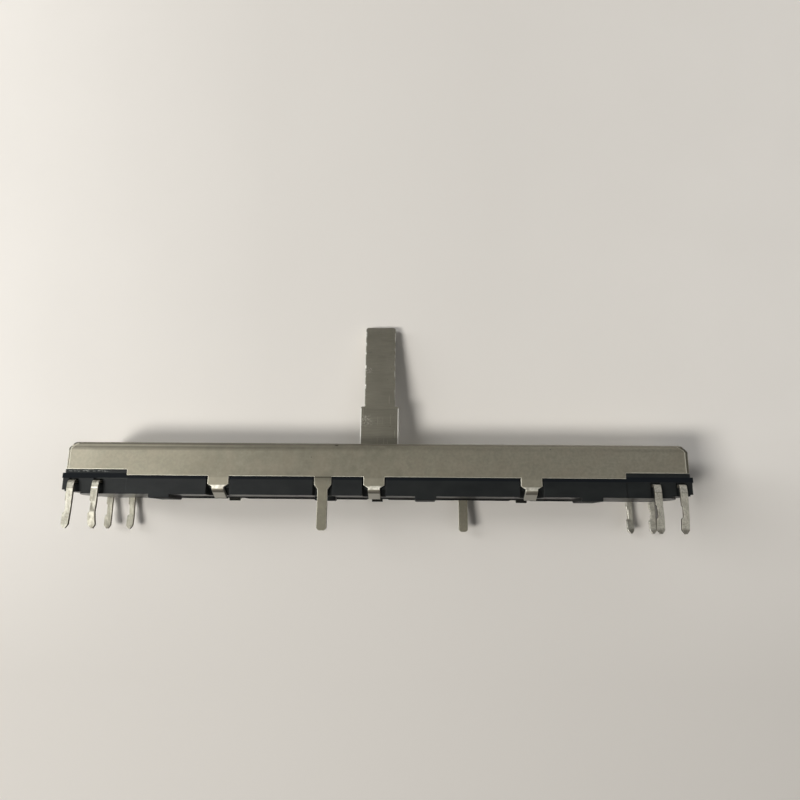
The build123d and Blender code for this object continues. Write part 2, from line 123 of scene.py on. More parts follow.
class Finish:
    """A material's node tree and its colour so far, with short calls for the nodes that finishes share."""

    def __init__(self, name, colour):
        self.colour = colour
        self.material = bpy.data.materials.new(name)
        self.material.use_nodes = True
        self.tree = clean(self.material.node_tree)
        self.output = self.node("OutputMaterial")
        self.surface = self.node("BsdfPrincipled")
        self.link(self.surface.outputs["BSDF"], self.output.inputs["Surface"])
        self.place = self.node("TexCoord").outputs["Object"]
        self.x, self.y, self.z = self.split(self.place)
        true_normal = self.node("NewGeometry").outputs["True Normal"]
        self.facing_x, self.facing_y, self.facing_z = self.split(true_normal)

    def node(self, kind, **settings):
        made = self.tree.nodes.new("ShaderNode" + kind)
        for name, value in settings.items():
            setattr(made, name, value)
        return made

    def link(self, source, target):
        self.tree.links.new(source, target)

    def feed(self, target, value):
        """Links a socket, or sets a plain value on the target socket."""
        if isinstance(value, bpy.types.NodeSocket):
            self.link(value, target)
        elif hasattr(value, "__len__") and len(value) == 3 and target.type == "RGBA":
            target.default_value = (*value, 1.0)
        else:
            target.default_value = value

    def split(self, vector):
        """The X, Y and Z of a vector."""
        parts = self.node("SeparateXYZ")
        self.link(vector, parts.inputs["Vector"])
        return parts.outputs["X"], parts.outputs["Y"], parts.outputs["Z"]

    def direction(self, x, y, z):
        """A constant direction as a socket."""
        made = self.node("CombineXYZ")
        for target, value in zip(made.inputs, (x, y, z)):
            target.default_value = value
        return made.outputs["Vector"]

    def stretched(self, stretch):
        """The object's coordinates, divided by a stretch along each axis."""
        mapping = self.node("Mapping")
        self.link(self.place, mapping.inputs["Vector"])
        mapping.inputs["Scale"].default_value = tuple(1 / s for s in stretch)
        return mapping.outputs["Vector"]

    def noise(self, size, detail=3.0, roughness=0.5, stretch=(1, 1, 1)):
        """Noise with features of about a size in metres."""
        texture = self.node("TexNoise")
        self.link(self.stretched(stretch), texture.inputs["Vector"])
        texture.inputs["Scale"].default_value = 1 / size
        texture.inputs["Detail"].default_value = detail
        texture.inputs["Roughness"].default_value = roughness
        return texture.outputs["Fac"]

    def cloud(self, size, low, high, **texture):
        """A mask of noise: 0 where it is under a low value, 1 where it is over a high one."""
        return self.span(self.noise(size, **texture), low, high)

    def specks(self, size, core, edge):
        """A mask of small spots scattered about a size apart: 1 within the core, 0 past the edge."""
        texture = self.node("TexVoronoi")
        self.link(self.place, texture.inputs["Vector"])
        texture.inputs["Scale"].default_value = 1 / size
        return self.span(texture.outputs["Distance"], core, edge, 1.0, 0.0)

    def span(self, value, low, high, to_low=0.0, to_high=1.0):
        """Maps low..high to to_low..to_high, clamped."""
        mapped = self.node("MapRange")
        self.link(value, mapped.inputs["Value"])
        mapped.inputs["From Min"].default_value = low
        mapped.inputs["From Max"].default_value = high
        mapped.inputs["To Min"].default_value = to_low
        mapped.inputs["To Max"].default_value = to_high
        return mapped.outputs["Result"]

    def between(self, mask, at_none, at_full):
        """A value that is at_none where a mask is 0 and at_full where it is 1."""
        return self.span(mask, 0.0, 1.0, at_none, at_full)

    def past(self, value, limit, blur):
        """0 up to a limit, rising to 1 over a blur past it."""
        return self.span(value, limit, limit + blur)

    def up_to(self, value, limit, blur):
        """1 up to a limit, falling to 0 over a blur past it."""
        return self.span(value, limit, limit + blur, 1.0, 0.0)

    def below(self, value, limit, blur):
        """0 down to a limit, rising to 1 over a blur below it."""
        return self.span(value, limit, limit - blur)

    def band(self, value, low, high, blur):
        """1 between low and high, fading to 0 over a blur outside them."""
        return self.both(self.past(value, low - blur, blur), self.up_to(value, high, blur))

    def maths(self, operation, first, second=0.0):
        made = self.node("Math", operation=operation)
        self.feed(made.inputs[0], first)
        self.feed(made.inputs[1], second)
        return made.outputs["Value"]

    def absolute(self, value):
        return self.maths("ABSOLUTE", value)

    def add(self, first, second):
        return self.maths("ADD", first, second)

    def subtract(self, first, second):
        return self.maths("SUBTRACT", first, second)

    def both(self, *masks):
        """The product of some masks."""
        product = masks[0]
        for mask in masks[1:]:
            product = self.maths("MULTIPLY", product, mask)
        return product

    def either(self, *masks):
        """The largest of some masks."""
        largest = masks[0]
        for mask in masks[1:]:
            largest = self.maths("MAXIMUM", largest, mask)
        return largest

    def outside(self, mask):
        """1 where a mask is 0."""
        return self.subtract(1.0, mask)

    def mix(self, amount, first, second):
        """Mixes two colours."""
        made = self.node("Mix", data_type="RGBA")
        self.feed(made.inputs["Factor"], amount)
        first_colour, second_colour = [socket for socket in made.inputs if socket.type == "RGBA"]
        self.feed(first_colour, first)
        self.feed(second_colour, second)
        return next(socket for socket in made.outputs if socket.type == "RGBA")

    def tint(self, colour, *masks, amount=1.0):
        """Mixes a colour into the finish's own by an amount, where some masks are all 1."""
        self.colour = self.mix(self.both(*masks, amount), self.colour, colour)

    def rounded(self, radius):
        """The surface direction with sharp edges rounded by a radius."""
        bevel = self.node("Bevel", samples=EDGE_SAMPLES)
        self.feed(bevel.inputs["Radius"], radius)
        return bevel.outputs["Normal"]

    def edges(self, rounded):
        """1 on sharp edges, fading to 0 inside them."""
        compared = self.node("VectorMath", operation="DOT_PRODUCT")
        self.link(rounded, compared.inputs[0])
        self.link(self.node("NewGeometry").outputs["Normal"], compared.inputs[1])
        return self.span(compared.outputs["Value"], EDGE_START, EDGE_FULL)

    def bump(self, height, depth, normal=None):
        """A bump of a depth in metres."""
        made = self.node("Bump")
        made.inputs["Strength"].default_value = 1.0
        made.inputs["Distance"].default_value = depth
        self.link(height, made.inputs["Height"])
        if normal is not None:
            self.link(normal, made.inputs["Normal"])
        return made.outputs["Normal"]

    def set(self, name, value):
        self.feed(self.surface.inputs[name], value)

    def finished(self):
        """The material, with its colour in place."""
        self.set("Base Color", self.colour)
        return self.material


def camera_axes():
    """The camera's forward and up directions in the part's frame."""
    turn = (
        Matrix.Rotation(CAMERA_ROLL, 3, "Y")
        @ Matrix.Rotation(CAMERA_TILT, 3, "X")
        @ Matrix.Rotation(CAMERA_YAW, 3, "Z")
    )
    return turn[1].copy(), turn[2].copy()


def aimed(place, forward, up):
    """The matrix of a camera or lamp at a place that looks forward."""
    right = forward.cross(up).normalized()
    matrix = Matrix((right, right.cross(forward), -forward.normalized())).transposed().to_4x4()
    matrix.translation = place
    return matrix


def add_camera():
    data = bpy.data.cameras.new("photo_camera")
    data.sensor_width = SENSOR_WIDTH_MM
    data.lens = LENS_MM
    data.clip_start = MM
    camera = bpy.data.objects.new("photo_camera", data)
    scene.collection.objects.link(camera)
    camera.matrix_world = aimed(CAMERA_PLACE, *camera_axes())
    scene.camera = camera


def add_lamp(name, direction, distance, size, watts, colour=WHITE):
    """An area lamp in a direction from the middle of the part, turned to it."""
    data = bpy.data.lights.new(name, "AREA")
    data.shape = "RECTANGLE"
    data.size, data.size_y = size
    data.energy = watts
    data.color = colour
    lamp = bpy.data.objects.new(name, data)
    scene.collection.objects.link(lamp)
    towards = direction.normalized()
    lamp.matrix_world = aimed(towards * distance, -towards, UPRIGHT)


def one_sided(name, colour, side_light_colour, shade_and_cloud_colour):
    """A matt pale surface that is seen from its front only, and is a little cloudy, with painted light
    towards its sides and painted shade towards its bottom.
    """
    finish = Finish(name, colour)
    left = finish.span(finish.x, *SHEET_LEFT_FADE)
    right = finish.span(finish.x, *SHEET_RIGHT_FADE, to_high=0.9)
    # Painted light towards the sides, and painted shade towards the bottom
    finish.tint(side_light_colour, finish.add(left, right))
    finish.tint(shade_and_cloud_colour, finish.span(finish.z, *SHEET_LOW_FADE))
    finish.tint(shade_and_cloud_colour, finish.cloud(SHEET_CLOUD_SIZE, low=0.35, high=0.65, detail=5.0), amount=0.12)
    finish.set("Roughness", STAGE_ROUGHNESS)
    finish.set("Specular IOR Level", STAGE_SHINE)
    clear = finish.node("BsdfTransparent")
    chooser = finish.node("MixShader")
    geometry = finish.node("NewGeometry")
    finish.link(geometry.outputs["Backfacing"], chooser.inputs[0])
    finish.link(finish.surface.outputs["BSDF"], chooser.inputs[1])
    finish.link(clear.outputs["BSDF"], chooser.inputs[2])
    finish.link(chooser.outputs["Shader"], finish.output.inputs["Surface"])
    return finish.finished()


def add_stage_plane(name, centre, normal, up, size, material):
    half = size / 2
    right = up.cross(normal).normalized()
    corners = [(-1, -1), (1, -1), (1, 1), (-1, 1)]
    mesh = bpy.data.meshes.new(name)
    mesh.from_pydata([centre + half * (x * right + y * up) for x, y in corners], [], [(0, 1, 2, 3)])
    mesh.materials.append(material)
    plane = bpy.data.objects.new(name, mesh)
    scene.collection.objects.link(plane)
    plane.visible_diffuse = False
    plane.visible_shadow = False


def add_world():
    """A plain backdrop for the camera, and a weak even light for everything else."""
    world = bpy.data.worlds.new("studio")
    scene.world = world
    world.use_nodes = True
    tree = clean(world.node_tree)
    output = tree.nodes.new("ShaderNodeOutputWorld")
    backdrop = tree.nodes.new("ShaderNodeBackground")
    backdrop.inputs["Color"].default_value = (*BACKGROUND_COLOUR, 1.0)
    ambient = tree.nodes.new("ShaderNodeBackground")
    ambient.inputs["Color"].default_value = (*AMBIENT_COLOUR, 1.0)
    ambient.inputs["Strength"].default_value = AMBIENT_LEVEL
    path = tree.nodes.new("ShaderNodeLightPath")
    chooser = tree.nodes.new("ShaderNodeMixShader")
    tree.links.new(path.outputs["Is Camera Ray"], chooser.inputs[0])
    tree.links.new(ambient.outputs["Background"], chooser.inputs[1])
    tree.links.new(backdrop.outputs["Background"], chooser.inputs[2])
    tree.links.new(chooser.outputs["Shader"], output.inputs["Surface"])


def add_stage():
    floor_centre = Vector((0, 0, cad_box[0].z - FLOOR_GAP))
    sheet_normal = Vector((0, -1, -SHEET_SLOPE)).normalized()
    sheet_up = Vector((0, -SHEET_SLOPE, 1)).normalized()
    sheet = one_sided("pale_sheet", SHEET_COLOUR, SHEET_SIDE_LIGHT_COLOUR, SHEET_LOW_SHADE_AND_CLOUD_COLOUR)
    floor = one_sided("pale_floor", FLOOR_COLOUR, FLOOR_COLOUR, FLOOR_COLOUR)
    add_stage_plane("pale_sheet", SHEET_PLACE, sheet_normal, sheet_up, SHEET_SIZE, sheet)
    add_stage_plane("pale_floor", floor_centre, UPRIGHT, BACKWARD, FLOOR_SIZE, floor)
    add_world()
    add_lamp("key", KEY_DIRECTION, KEY_DISTANCE, KEY_SIZE, KEY_WATTS, KEY_COLOUR)
    add_lamp("window", WINDOW_DIRECTION, WINDOW_DISTANCE, WINDOW_SIZE, WINDOW_WATTS)
    add_lamp("overhead", OVERHEAD_DIRECTION, OVERHEAD_DISTANCE, OVERHEAD_SIZE, OVERHEAD_WATTS)
    add_lamp("fill", FILL_DIRECTION, FILL_DISTANCE, FILL_SIZE, FILL_WATTS)
    add_lamp("rear", REAR_DIRECTION, REAR_DISTANCE, REAR_SIZE, REAR_WATTS)


# Cover: the plate's own colours, and those of a painted highlight towards its ends and painted shade in
# its middle
COVER_LIGHT = (0.252, 0.239, 0.185)
COVER_DARK = (0.218, 0.207, 0.158)
COVER_END_HIGHLIGHT = (0.370, 0.351, 0.284)
COVER_MIDDLE_SHADE = (0.190, 0.181, 0.140)
COVER_SHADED = (0.12, 0.115, 0.09)
COVER_LINE = (0.24, 0.225, 0.175)
COVER_MOTTLE = (0.42, 0.395, 0.315)
COVER_GRIT = (0.16, 0.152, 0.12)
COVER_WARM = (0.30, 0.258, 0.20)
COVER_DOT = (0.10, 0.095, 0.08)

# Cover: stretches along it with a painted highlight towards the ends and painted shade in the middle
LEFT_END_HIGHLIGHT = (-24 * MM, -38 * MM)
RIGHT_END_HIGHLIGHT = (2 * MM, 30 * MM)
MIDDLE_SHADE_STRETCH = (-14 * MM, -3 * MM)
SHADED_STRETCH = (-20 * MM, -10 * MM)

# Cover: painted reflections on its top bend: a dark line along it, and left of the lever a painted
# highlight and a dark band at its foot
BEND_TOP = (-0.24 * MM, 0.05 * MM)
BEND_MIDDLE = (-0.48 * MM, -0.34 * MM)
BEND_FOOT = (-0.98 * MM, -0.64 * MM)
BEND_WANDER = 0.10 * MM
BEND_REFLECTION_ALONG = (-22 * MM, 2 * MM)
BEND_SHINE_FADE = (-30 * MM, -12 * MM)
BEND_TOP_DARK_REFLECTION = (0.13, 0.12, 0.10)
BEND_HIGHLIGHT_COLOUR = (0.62, 0.59, 0.49)
BEND_FOOT_DARK_REFLECTION = (0.15, 0.14, 0.11)

# Cover: its ends, measured from the middle of the walls, with a painted highlight on the wall ends, and
# the corners clipped across
WALLS_LEFT_OF_MIDDLE = 0.09 * MM
WALL_END = (36.80 * MM, 36.92 * MM)
WALL_END_HIGHLIGHT = (0.72, 0.70, 0.60)
FLAP_START = 36.94 * MM
FLAP_COLOUR = (0.12, 0.11, 0.085)
CLIP_LINE = 36.10 * MM
CLIP_COLOUR = (0.08, 0.075, 0.06)

# Cover: a nick under the top bend, and the threads of the tapped holes, with painted shade in their
# grooves
NICK_ALONG = (-4.74 * MM, -4.46 * MM)
NICK_LEVEL = (-0.36 * MM, -0.26 * MM)
NICK_COLOUR = (0.05, 0.045, 0.04)
THREAD_RADIUS = 0.95 * MM
THREAD_BLUR = 0.1 * MM
THREAD_PITCH = 0.4 * MM
THREAD_DEPTH = 0.15 * MM
THREAD_WALL_TURN = (0.3, 0.5)
THREAD_SHADE_COLOUR = (0.06, 0.055, 0.05)

# Cover: a painted highlight along the foot of the skirt, which is higher past a half length, painted
# highlights on the sheet's edges, and pale, less metal cut sides as a painted highlight
SKIRT_HALF = 30.1 * MM
FOOT_HEIGHT = 0.10 * MM
FOOT_HIGHLIGHT_BREAKUP = (0.35, 0.75)
FOOT_HIGHLIGHT_COLOUR = (0.62, 0.60, 0.51)
EDGE_HIGHLIGHT_BREAKUP = (0.6, 1.0)
EDGE_HIGHLIGHT_COLOUR = (0.82, 0.80, 0.70)
CUT_TURN = (0.4, 0.7)
CUT_METAL = 0.2
CUT_SIDE_HIGHLIGHT = (0.62, 0.60, 0.52)

# Cover: tabs at an even pitch, with a painted highlight on the bend, painted shade on the tail and painted
# light on the tip; the rear tabs' tails get painted shade
TAB_PITCH = 18.6 * MM
TAB_HALF_WIDTH = 1.3 * MM
TAB_SIDE = (TAB_HALF_WIDTH - 0.12 * MM, TAB_HALF_WIDTH + 0.05 * MM)
TAB_SIDE_HIGHLIGHT = 0.6
TAB_FACE_COLOUR = (0.46, 0.435, 0.35)
TAB_BEND = (-5.54 * MM, -5.22 * MM)
TAB_BEND_HIGHLIGHT_BREAKUP = (0.25, 0.85)
TAB_BEND_HIGHLIGHT = (0.93, 0.91, 0.82)
TAIL_TURN = (-0.35, -0.6)
TIP_START = -5.98 * MM
TIP_LIGHT_COLOUR = (0.90, 0.87, 0.80)
TAIL = (TIP_START, TAB_BEND[0])
TAIL_SHADE_COLOUR = (0.22, 0.20, 0.18)
TAIL_REACH = 2.8 * MM
REAR_TAIL = (TAIL_REACH, TAIL_REACH + 1.0 * MM)
REAR_TAIL_SHADE_COLOUR = (0.015, 0.015, 0.014)

# Cover: the front solder lug, with the skirt's painted shadow at its root: a dark line and a shade
LUG_ALONG = (-7.14 * MM, -5.04 * MM)
LUG_LINE = (SKIRT_FOOT - 0.08 * MM, SKIRT_FOOT + 0.04 * MM)
LUG_SHADOW_LINE_COLOUR = (0.05, 0.045, 0.035)
LUG_SHADE_HEIGHT = 0.9 * MM
LUG_SHADE_COLOUR = (0.08, 0.075, 0.06)

# Cover: the turn that makes a face a front one, how dull the plate is, and the way across its rolling
COVER_FRONT = (-0.2, -0.4)
COVER_ROUGHNESS = (0.56, 0.66)
COVER_ANISOTROPY = 0.2
COVER_GRAIN_DEPTH = 0.006 * MM
ACROSS_ROLLING = (0.0, 0.7, 0.7)


def tint_plate(finish):
    """Tints the cover's plate with stains, mottle, grit, lines and dots, paints a highlight towards its
    ends and shade in its middle, and returns how stained it is.
    """
    stains = finish.cloud(4.5 * MM, low=0.35, high=0.65, detail=4.0, stretch=(2.0, 1, 1))
    mottle = finish.cloud(1.1 * MM, low=0.36, high=0.64, detail=5.0, roughness=0.65)
    grit = finish.cloud(0.34 * MM, low=0.38, high=0.62, roughness=0.6)
    lines = finish.cloud(0.22 * MM, low=0.35, high=0.65, stretch=(40, 1, 1))
    left_highlight = finish.span(finish.x, *LEFT_END_HIGHLIGHT, to_high=0.9)
    right_highlight = finish.span(finish.x, *RIGHT_END_HIGHLIGHT, to_high=1.35)
    finish.tint(COVER_DARK, stains)
    # Painted highlight towards both ends, and painted shade in the middle and left of it
    finish.tint(COVER_END_HIGHLIGHT, finish.either(left_highlight, right_highlight), amount=0.6)
    finish.tint(COVER_MIDDLE_SHADE, finish.band(finish.x, *MIDDLE_SHADE_STRETCH, blur=9 * MM), amount=0.9)
    finish.tint(COVER_SHADED, finish.band(finish.x, *SHADED_STRETCH, blur=6 * MM), amount=0.16)
    finish.tint(COVER_LINE, lines, amount=0.10)
    finish.tint(COVER_MOTTLE, mottle, amount=0.24)
    finish.tint(COVER_GRIT, grit, amount=0.24)
    finish.tint(COVER_WARM, finish.cloud(2.4 * MM, low=0.42, high=0.64, detail=4.0), amount=0.22)
    finish.tint(COVER_DOT, finish.specks(1.7 * MM, core=0.03, edge=0.06), amount=0.7)
    return finish.add(stains, mottle)


def tint_top_bend(finish, frontal):
    """Paints reflections on the cover's top bend as lines that wander a little: a dark top line, and left
    of the lever a highlight and a dark foot.
    """
    wander = finish.both(finish.noise(2.0 * MM, stretch=(3, 1, 1)), BEND_WANDER)
    level = finish.add(finish.z, wander)
    painted_light_mask = finish.both(frontal, finish.span(finish.x, *BEND_REFLECTION_ALONG, to_low=1.0, to_high=0.0))
    shine_fade = finish.span(finish.x, *BEND_SHINE_FADE, to_low=1.0, to_high=0.25)
    middle = finish.band(level, *BEND_MIDDLE, blur=0.07 * MM)
    # Painted reflections: a dark top line, a highlight and a dark foot
    finish.tint(BEND_TOP_DARK_REFLECTION, frontal, finish.band(level, *BEND_TOP, blur=0.06 * MM), amount=0.44)
    finish.tint(BEND_HIGHLIGHT_COLOUR, painted_light_mask, shine_fade, middle, amount=0.55)
    finish.tint(BEND_FOOT_DARK_REFLECTION, painted_light_mask, finish.band(level, *BEND_FOOT, blur=0.08 * MM), amount=0.45)


def tint_cover_ends(finish, frontal, ragged):
    """Tints the cover's end flaps and clipped corners, paints a highlight on the wall ends, and returns
    the corners' mask.
    """
    from_middle = finish.absolute(finish.add(finish.x, WALLS_LEFT_OF_MIDDLE))
    clipped = finish.past(finish.add(finish.absolute(finish.x), finish.z), CLIP_LINE, blur=0.08 * MM)
    flap = finish.past(from_middle, FLAP_START, blur=0.06 * MM)
    wall_end = finish.band(from_middle, *WALL_END, blur=0.04 * MM)
    finish.tint(FLAP_COLOUR, frontal, flap, amount=0.65)
    # Painted highlight on the ends of the walls
    finish.tint(WALL_END_HIGHLIGHT, frontal, wall_end, amount=0.9)
    finish.tint(CLIP_COLOUR, frontal, clipped, ragged, amount=0.8)
    return clipped


def screw_threads(finish):
    """The height of the threads in the cover's two tapped holes, 0 elsewhere."""
    holes = next(mount for mount in frame["record"]["mounts"] if mount["name"] == "screw_holes")
    screw_x = holes["dims"]["spacing_x_mm"] * MM / 2
    from_hole = finish.subtract(finish.absolute(finish.x), screw_x)
    square = finish.add(finish.both(from_hole, from_hole), finish.both(finish.y, finish.y))
    inside = finish.up_to(finish.maths("SQRT", square), THREAD_RADIUS - THREAD_BLUR, THREAD_BLUR)
    lying = finish.span(finish.absolute(finish.facing_z), *THREAD_WALL_TURN)
    turn = finish.both(finish.maths("ARCTAN2", finish.y, from_hole), THREAD_PITCH / math.tau)
    height = finish.maths("PINGPONG", finish.add(finish.z, turn), THREAD_PITCH / 2)
    return finish.both(inside, finish.outside(lying), finish.span(height, 0.0, THREAD_PITCH / 2))


def tint_skirt_foot(finish, frontal, ragged, from_tab, lug_here):
    """Paints a highlight along the foot of the cover's skirt, which is higher at the ends, and on the
    tabs' sides.
    """
    across = finish.absolute(finish.x)
    main_foot = finish.both(
        finish.up_to(across, SKIRT_HALF, blur=0.05 * MM),
        finish.outside(lug_here),
        finish.past(from_tab, TAB_HALF_WIDTH - 0.10 * MM, blur=0.10 * MM),
        finish.band(finish.z, SKIRT_FOOT, SKIRT_FOOT + FOOT_HEIGHT, blur=0.03 * MM),
    )
    end_foot = finish.both(
        finish.past(across, SKIRT_HALF, blur=0.05 * MM),
        finish.band(finish.z, SKIRT_END_FOOT, SKIRT_END_FOOT + FOOT_HEIGHT, blur=0.03 * MM),
    )
    tab_sides = finish.both(
        finish.below(finish.z, SKIRT_FOOT, blur=0.05 * MM),
        finish.band(from_tab, *TAB_SIDE, blur=0.05 * MM),
        TAB_SIDE_HIGHLIGHT,
    )
    # Painted highlight along the skirt's foot and the tabs' sides, broken up raggedly
    painted_light_mask = finish.between(ragged, *FOOT_HIGHLIGHT_BREAKUP)
    finish.tint(FOOT_HIGHLIGHT_COLOUR, frontal, finish.either(main_foot, end_foot, tab_sides), painted_light_mask)


def tint_tabs(finish, frontal, from_tab):
    """Tints the front tabs' faces and paints a highlight on their bends, shade on their tails and light on
    their tips, and shade on the rear tabs' tails.
    """
    on_tab = finish.up_to(from_tab, TAB_HALF_WIDTH, blur=0.1 * MM)
    front = finish.both(
        on_tab,
        finish.below(finish.z, SKIRT_FOOT, blur=0.1 * MM),
        finish.up_to(finish.y, -TAIL_REACH, blur=0.1 * MM),
    )
    rear = finish.both(
        on_tab,
        finish.below(finish.z, UNDERSIDE + 0.1 * MM, blur=0.1 * MM),
        finish.band(finish.y, *REAR_TAIL, blur=0.1 * MM),
    )
    face = finish.below(finish.z, SKIRT_FOOT, blur=0.2 * MM)
    folded_under = finish.span(finish.facing_z, *TAIL_TURN)
    bend = finish.band(finish.z, *TAB_BEND, blur=0.10 * MM)
    painted_light_mask = finish.between(finish.cloud(0.8 * MM, low=0.35, high=0.60), *TAB_BEND_HIGHLIGHT_BREAKUP)
    tail = finish.band(finish.z, *TAIL, blur=0.08 * MM)
    tip = finish.below(finish.z, TIP_START, blur=0.08 * MM)
    finish.tint(TAB_FACE_COLOUR, frontal, face, on_tab, amount=0.20)
    # Painted highlight on the bend, painted shade on the tail, painted light on the tip, painted shade on
    # the rear tails
    finish.tint(TAB_BEND_HIGHLIGHT, front, bend, painted_light_mask)
    finish.tint(TAIL_SHADE_COLOUR, front, folded_under, tail, amount=0.55)
    finish.tint(TIP_LIGHT_COLOUR, front, folded_under, tip, amount=0.75)
    finish.tint(REAR_TAIL_SHADE_COLOUR, rear, amount=0.95)


def tint_lug(finish, frontal, lug_here):
    """Paints the skirt's shadow on the root of the front solder lug."""
    shade = finish.both(
        finish.below(finish.z, SKIRT_FOOT, blur=0.05 * MM),
        finish.outside(finish.below(finish.z, SKIRT_FOOT, blur=LUG_SHADE_HEIGHT)),
    )
    shadow_line = finish.band(finish.z, *LUG_LINE, blur=0.04 * MM)
    # Painted shadow of the skirt: a shade fading down and a dark line
    finish.tint(LUG_SHADE_COLOUR, frontal, shade, lug_here, amount=0.45)
    finish.tint(LUG_SHADOW_LINE_COLOUR, frontal, shadow_line, lug_here, amount=0.75)


def tab_distance(finish):
    """The distance along the cover to the middle of the nearest tab."""
    return finish.maths("PINGPONG", finish.add(finish.x, TAB_PITCH), TAB_PITCH / 2)


def cover_finish():
    """Dull plated sheet: stains, fine mottle, dark corners, threads, and painted light and shade on its
    ends, bend, edges and tabs.
    """
    finish = Finish("cover_plate", COVER_LIGHT)
    frontal = finish.span(finish.facing_y, *COVER_FRONT)
    ragged = finish.cloud(0.30 * MM, low=0.35, high=0.60)
    from_tab = tab_distance(finish)
    lug_here = finish.band(finish.x, *LUG_ALONG, blur=0.05 * MM)
    nick_along = finish.band(finish.x, *NICK_ALONG, blur=0.10 * MM)
    nick_level = finish.band(finish.z, *NICK_LEVEL, blur=0.06 * MM)
    threads = screw_threads(finish)
    rounded = finish.rounded(SHEET_EDGE)
    highlit_cut_sides = finish.both(
        finish.span(finish.absolute(finish.facing_x), *CUT_TURN),
        finish.below(finish.z, SKIRT_FOOT, blur=0.1 * MM),
    )
    stained = tint_plate(finish)
    tint_top_bend(finish, frontal)
    clipped = tint_cover_ends(finish, frontal, ragged)
    finish.tint(NICK_COLOUR, frontal, nick_along, nick_level, amount=0.8)
    # Painted shade in the grooves of the threads
    finish.tint(THREAD_SHADE_COLOUR, threads, amount=0.8)
    tint_skirt_foot(finish, frontal, ragged, from_tab, lug_here)
    # Painted highlight on the sheet's rounded edges, broken up raggedly, except on the clipped corners
    painted_light_mask = finish.between(ragged, *EDGE_HIGHLIGHT_BREAKUP)
    finish.tint(EDGE_HIGHLIGHT_COLOUR, finish.edges(rounded), painted_light_mask, finish.outside(clipped))
    tint_tabs(finish, frontal, from_tab)
    tint_lug(finish, frontal, lug_here)
    # Pale, less metal cut sides below the skirt, as a painted highlight
    finish.tint(CUT_SIDE_HIGHLIGHT, highlit_cut_sides, amount=0.8)
    finish.set("Metallic", finish.between(highlit_cut_sides, 1.0, CUT_METAL))
    finish.set("Roughness", finish.span(stained, 0.0, 2.0, *COVER_ROUGHNESS))
    finish.set("Anisotropic", COVER_ANISOTROPY)
    finish.link(finish.direction(*ACROSS_ROLLING), finish.surface.inputs["Tangent"])
    grain = finish.bump(finish.noise(0.14 * MM, detail=2.0), COVER_GRAIN_DEPTH, rounded)
    finish.set("Normal", finish.bump(threads, THREAD_DEPTH, grain))
    return finish.finished()


# Lever: colours of its steel, of its scuffs, and of painted highlights on its sides and edges
STEEL_LIGHT = (0.266, 0.252, 0.204)
STEEL_DARK = (0.223, 0.211, 0.169)
STEEL_BRUSHED = (0.175, 0.165, 0.13)
STEEL_LOWER = (0.12, 0.115, 0.09)
STEEL_ROOT = (0.36, 0.335, 0.27)
STEEL_SCRATCH = (0.45, 0.43, 0.36)
STEEL_NICK = (0.72, 0.70, 0.62)
STEEL_SCUFF_AND_SIDE_HIGHLIGHT = (0.62, 0.60, 0.53)
STEEL_SPECK = (0.05, 0.047, 0.04)
STEEL_EDGE_HIGHLIGHT = (0.60, 0.58, 0.50)
STEEL_FACE_EDGE_HIGHLIGHT = (0.95, 0.93, 0.87)

# Lever: the turn of its front, its middle, its step with the half widths under and over it, scuffs, and
# the strength of the painted highlight on its right edge
LEVER_FRONT = (-0.5, -0.8)
LEVER_X = 0.3 * MM
LEVER_STEP = 5.27 * MM
LEVER_ROOT_HALF = 2.425 * MM
LEVER_TIP_HALF = 1.945 * MM
ROOT_FADE = (1.0 * MM, 0.0)
SCUFF_ALONG = (-1.9 * MM, -0.9 * MM)
SCUFF_HIGH = (9.7 * MM, 10.3 * MM)
SCUFF_LOW = (2.9 * MM, 3.9 * MM)
RIGHT_EDGE_HIGHLIGHT = 0.5
LEVER_ROUGHNESS = (0.42, 0.56)
LEVER_GRAIN_DEPTH = 0.004 * MM


def lever_edge_highlights(finish, lower):
    """A mask of painted highlights on the edges of the lever's face: whole under its step, broken up over
    it.
    """
    from_middle = finish.subtract(finish.x, LEVER_X)
    frontal = finish.span(finish.facing_y, *LEVER_FRONT)
    broken_highlight = finish.both(
        frontal,
        finish.past(finish.z, LEVER_STEP, blur=0.1 * MM),
        finish.cloud(0.7 * MM, low=0.50, high=0.62),
    )
    root = finish.past(finish.absolute(from_middle), LEVER_ROOT_HALF - 0.13 * MM, blur=0.07 * MM)
    left = finish.below(from_middle, -LEVER_TIP_HALF + 0.18 * MM, blur=0.10 * MM)
    right = finish.past(from_middle, LEVER_TIP_HALF - 0.12 * MM, blur=0.08 * MM)
    return finish.either(
        finish.both(frontal, lower, root),
        finish.both(broken_highlight, left),
        finish.both(broken_highlight, right, RIGHT_EDGE_HIGHLIGHT),
    )


